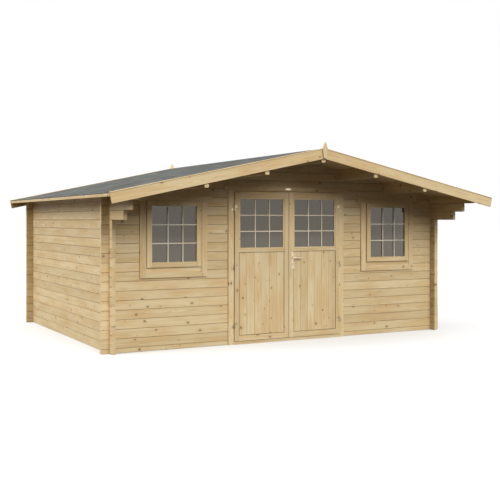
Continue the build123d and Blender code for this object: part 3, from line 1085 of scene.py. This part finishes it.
@dataclass
class Ironwork:
    """Hinges, lock, lever, screws and the blank plate over the door."""

    store: Store
    screw_radius: float = 0.0042
    screw_proud: float = 0.0007
    screw_taper: float = 0.8
    edge: float = 0.0009
    edge_angle: float = 50.0
    smooth_angle: float = 32.0
    casing_inset: float = 0.085
    casing_foot: float = 0.12
    casing_top: float = 0.18
    casing_rows: int = 5
    barge_rows: int = 6
    barge_drops: tuple[float, float] = (0.045, 0.095)
    plate_half: tuple[float, float] = (0.048, 0.015)
    plate_thick: float = 0.0022
    plate_drop: float = 0.0295
    plate_screw_share: float = 0.72
    plate_screw_radius: float = 0.0032
    cylinder_radius: float = 0.0085
    cylinder_drop: float = 0.072
    cylinder_proud: float = 0.0035
    foot_half: float = 0.00493
    foot_drops: tuple[float, float] = (0.0221, 0.00425)
    key_slot: Point = (0.0008, 0.0003, 0.0045)

    def dress(self, node: str, slot: str, metal: Material) -> Object:
        """Replace a metal node by a copy with eased edges and smooth rounds.

        Args:
            node: the CAD node.
            slot: material slot of the record.
            metal: its finish.

        Returns:
            The new piece.
        """
        bm = merged_copy(self.store.nodes[node])
        ease_edges(bm, self.edge, 2, self.edge_angle)
        obj = piece(bm, f"{node}_metal", metal)
        obj.data.shade_smooth()
        obj.data.set_sharp_from_angle(angle=math.radians(self.smooth_angle))
        return self.store.settle(obj, self.store.node_body[node], slot, node)

    def heads(self, name: str, places: list[Point], body: str) -> Object:
        """Make screw heads on faces that look to the front.

        Args:
            name: name of the piece.
            places: x, y and z of each head, on the face.
            body: body that carries them.

        Returns:
            The heads, joined.
        """
        bm = bmesh.new()
        for x, y, z in places:
            place = Matrix.Translation((x, y - self.screw_proud / 2, z))
            add_disc(bm, place, self.screw_radius, self.screw_proud, 12, self.screw_taper)
        bmesh.ops.recalc_face_normals(bm, faces=bm.faces)
        return self.store.settle(piece(bm, name, self.store.hinge_metal), body, "hinge_steel")

    def screws(self) -> None:
        """Screw the casing and the barge boards."""
        low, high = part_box("door_casing")
        span = high.z - low.z - self.casing_foot - self.casing_top
        step = span / (self.casing_rows - 1)
        rows = [low.z + self.casing_foot + index * step for index in range(self.casing_rows)]
        ends = (low.x + self.casing_inset, high.x - self.casing_inset)
        self.heads("casing_screws", [(x, low.y, z) for x in ends for z in rows], "cabin")
        barge_low, barge_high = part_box("front_barge_boards")
        fall = math.tan(ROOF_FALL)
        spots = []
        for row in range(1, self.barge_rows + 1):
            reach = row * barge_high.x / (self.barge_rows + 1)
            for drop in self.barge_drops:
                z = barge_high.z - reach * fall - drop
                spots += [(side.value * reach, barge_low.y, z) for side in Side]
        self.heads("barge_screws", spots, "cabin")

    def plate(self) -> Object:
        """Make the blank oval plate on the head of the door casing.

        Returns:
            The plate.
        """
        low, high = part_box("door_casing")
        width, height = self.plate_half
        front = low.y - self.plate_thick / 2
        place = Matrix.Translation((0.0, front, high.z - self.plate_drop))
        size = Matrix.Diagonal((width, 1.0, height, 1.0))
        bm = bmesh.new()
        add_disc(bm, place @ size, 1.0, self.plate_thick, 40)
        ease_edges(bm, self.plate_thick * 0.4, 2, self.edge_angle)
        for side in Side:
            spot = (side.value * width * self.plate_screw_share, -self.plate_thick / 2, 0.0)
            add_disc(bm, place @ Matrix.Translation(spot), self.plate_screw_radius,
                     self.screw_proud * 2, 12, self.screw_taper)
        bmesh.ops.recalc_face_normals(bm, faces=bm.faces)
        obj = piece(bm, "header_plate", self.store.plate_metal)
        return self.store.settle(obj, "cabin", "lock_metal")

    def cylinder(self) -> Object:
        """Make the key cylinder's face, with its slot, on the lock plate.

        Returns:
            The cylinder.
        """
        low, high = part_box("lock_plates")
        lever_low, lever_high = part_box("lever_handle")
        x = (low.x + high.x) / 2
        z = (lever_low.z + lever_high.z) / 2 - self.cylinder_drop
        proud = self.cylinder_proud
        bm = bmesh.new()
        add_disc(bm, Matrix.Translation((x, low.y - proud / 2, z)), self.cylinder_radius, proud, 32)
        half = self.foot_half
        bottom, top = self.foot_drops
        add_box(bm, (x - half, low.y - proud * 0.9, z - bottom), (x + half, low.y, z - top))
        ease_edges(bm, self.screw_proud, 2, self.edge_angle)
        width, lip, height = self.key_slot
        add_box(bm, (x - width, low.y - proud - lip, z - height),
                (x + width, low.y - proud * 0.5, z + height))
        bmesh.ops.recalc_face_normals(bm, faces=bm.faces)
        obj = piece(bm, "lock_cylinder", self.store.lock_metal)
        return self.store.settle(obj, "right_leaf", "lock_metal")

    def build(self) -> None:
        """Dress the metal nodes and add the small parts."""
        for node in ("lock_plates", "lever_handle"):
            self.dress(node, "lock_metal", self.store.lock_metal)
        for node in ("frame_hinges", "left_leaf_hinges", "right_leaf_hinges"):
            self.dress(node, "hinge_steel", self.store.hinge_metal)
        self.screws()
        self.plate()
        self.cylinder()


@dataclass
class Studio:
    """Camera, lamps, floor and background."""

    place: Point = (-5.820, -11.639, 1.605)
    yaw: float = -28.2
    lens: float = 61.94
    shift_y: float = -0.0616
    left_from: Point = (-1.0, 0.06, 0.56)
    left_strength: float = 2.0
    front_from: Point = (0.06, -1.0, 0.56)
    front_strength: float = 2.16
    lamp_angle: float = 34.0
    sky_low: float = 0.12
    sky_high: float = 1.25
    sky_foot: float = 0.06
    sky_rise: float = 0.6
    floor_colour: Colour = (0.60, 0.60, 0.595)
    floor_bounce: Colour = (0.03, 0.03, 0.03)
    floor_glow: float = 0.26
    floor_size: float = 60.0

    def camera(self) -> None:
        """Set the camera at the photograph's viewing angle."""
        data = bpy.data.cameras.new("camera")
        data.sensor_width = 36.0
        data.lens = self.lens
        data.shift_y = self.shift_y
        data.clip_end = 200.0
        obj = bpy.data.objects.new("camera", data)
        obj.location = self.place
        obj.rotation_euler = (math.radians(90.0), 0.0, math.radians(self.yaw))
        bpy.context.scene.collection.objects.link(obj)
        bpy.context.scene.camera = obj

    def lamp(self, name: str, direction: Point, strength: float) -> None:
        """Add a far lamp that shines from a direction.

        Args:
            name: name of the lamp.
            direction: where the light comes from.
            strength: its strength.
        """
        data = bpy.data.lights.new(name, "SUN")
        data.energy = strength
        data.angle = math.radians(self.lamp_angle)
        obj = bpy.data.objects.new(name, data)
        obj.rotation_euler = Vector(direction).to_track_quat("Z", "Y").to_euler()
        bpy.context.scene.collection.objects.link(obj)

    def world(self) -> None:
        """Set a sky that is brighter overhead and shows white to the camera and in gloss."""
        bench = Bench("sky", "worlds")
        height = bench.split(bench.add("ShaderNodeTexCoord", None, None, "Generated"))[2]
        sky = self.sky_low + (self.sky_high - self.sky_low) * height.step(self.sky_foot, self.sky_rise)
        shown = bench.shown()
        strength = shown + (1.0 - shown) * sky
        inputs = {"Color": (*WHITE, 1.0), "Strength": strength}
        background = bench.add("ShaderNodeBackground", None, inputs)
        bench.add("ShaderNodeOutputWorld", None, {"Surface": background})
        bpy.context.scene.world = bench.block

    def floor(self) -> None:
        """Lay the pale floor, which keeps the cabin's shadow and is white elsewhere."""
        bm = bmesh.new()
        bmesh.ops.create_grid(bm, x_segments=1, y_segments=1, size=self.floor_size)
        bench = Bench("studio_floor")
        matt = bench.add("ShaderNodeBsdfDiffuse", None, {"Color": (*self.floor_bounce, 1.0)})
        pale = bench.add("ShaderNodeBsdfDiffuse", None, {"Color": (*self.floor_colour, 1.0)})
        inputs = {"Color": (*WHITE, 1.0), "Strength": self.floor_glow}
        glow = bench.add("ShaderNodeEmission", None, inputs)
        lit = bench.add("ShaderNodeAddShader", None, {0: pale, 1: glow})
        both = bench.add("ShaderNodeMixShader", None, {0: bench.shown(), 1: matt, 2: lit})
        bench.add("ShaderNodeOutputMaterial", None, {"Surface": both})
        piece(bm, "studio_floor", bench.block)

    def build(self) -> None:
        """Make the whole studio."""
        self.camera()
        self.world()
        self.floor()
        self.lamp("left_lamp", self.left_from, self.left_strength)
        self.lamp("front_lamp", self.front_from, self.front_strength)
        bpy.context.scene.view_settings.view_transform = "Standard"


LOG_NODES = (
    "front_wall_left_logs", "front_wall_right_logs", "front_gable_logs", "rear_wall_logs",
    "rear_gable_logs", "left_wall_logs", "right_wall_logs", "plate_logs", "ridge_purlin",
    "middle_purlins", "lower_purlins",
)
SLOPING_NODES = ("front_barge_boards", "rear_barge_boards", "barge_cover_strips")
TRIM_NODES = (
    "eave_battens", "finials", "door_threshold", "door_frame", "door_casing", "window_frames",
    "window_trims",
)
JOINERY_NODES = (
    "window_sashes", "left_leaf_frame", "right_leaf_frame", "left_leaf_beads", "right_leaf_beads",
)
GLASS_NODES = ("left_leaf_glass", "right_leaf_glass", "window_glass")
WOODS = {
    Wood.LOG: WoodFinish("log_wood"),
    Wood.TRIM: WoodFinish("trim_wood", light=(0.68, 0.54, 0.32)),
    # Joinery: deeper painted shade in the panel's bevelled border and joints.
    Wood.JOINERY: WoodFinish("joinery_wood", light=(0.69, 0.55, 0.33), tone_range=0.12, seam_shade=0.5),
    Wood.BARS: WoodFinish("bar_wood", light=(0.77, 0.71, 0.59), late=(0.69, 0.62, 0.50),
                          knot_share=0.02, tone_range=0.05),
    Wood.ROOF: WoodFinish("roof_wood", light=(0.64, 0.50, 0.30), knot_share=0.6),
    Wood.JOIST: WoodFinish("joist_wood", light=(0.38, 0.37, 0.23), late=(0.30, 0.27, 0.15)),
}


def make_store(frame: dict) -> Store:
    """Gather the frame and make the shared finishes.


    Returns:
        The store.
    """
    bodies = frame["record"]["behaviour"]["bodies"]
    node_body = {node: body for body, nodes in bodies.items() for node in nodes}
    return Store(
        nodes=frame["nodes"],
        node_body=node_body,
        wood={wood: finish.build() for wood, finish in WOODS.items()},
        felt=FeltFinish("roof_felt").build(),
        glass=GlassFinish("window_glass").build(),
        lock_metal=MetalFinish("lock_metal", (0.62, 0.53, 0.39), 0.24).build(),
        plate_metal=MetalFinish("plate_metal", (0.60, 0.48, 0.35), 0.34).build(),
        hinge_metal=MetalFinish("hinge_metal", (0.40, 0.32, 0.20), 0.42).build(),
    )


def glaze(store: Store) -> None:
    """Give the panes, which stay the CAD nodes, their finish.

    Args:
        store: the frame and the finishes.
    """
    for node in GLASS_NODES:
        for slot in store.nodes[node].material_slots:
            slot.material = store.glass
        log.info("%s: %s", node, store.glass.name)


def main() -> None:
    """Build the studio and the cabin's dress."""
    logging.basicConfig(level=logging.INFO, format="%(name)s %(message)s")
    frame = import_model()
    Studio().build()
    store = make_store(frame)
    timber = TimberWork(store)
    for node in LOG_NODES:
        timber.dress(node, Wood.LOG, "logs")
    for node in TRIM_NODES:
        timber.dress(node, Wood.TRIM, "trim_boards")
    for node in SLOPING_NODES:
        timber.dress(node, Wood.TRIM, "trim_boards", (Axis.X, Axis.Z), ROOF_FALL)
    for node in JOINERY_NODES:
        timber.dress(node, Wood.JOINERY, "joinery")
    timber.dress("floor_joists", Wood.JOIST, "joists")
    for side in Side:
        leaf = DoorLeaf(store, side)
        leaf.panel()
        leaf.glazing_bars()
    Windows(store).build()
    boards = Boarding(store)
    shingles = Shingles(store)
    for side in Side:
        boards.roof(side)
        shingles.slope(side)
    shingles.ridge()
    boards.floor()
    Ironwork(store).build()
    glaze(store)


if __name__ == "__main__":
    main()
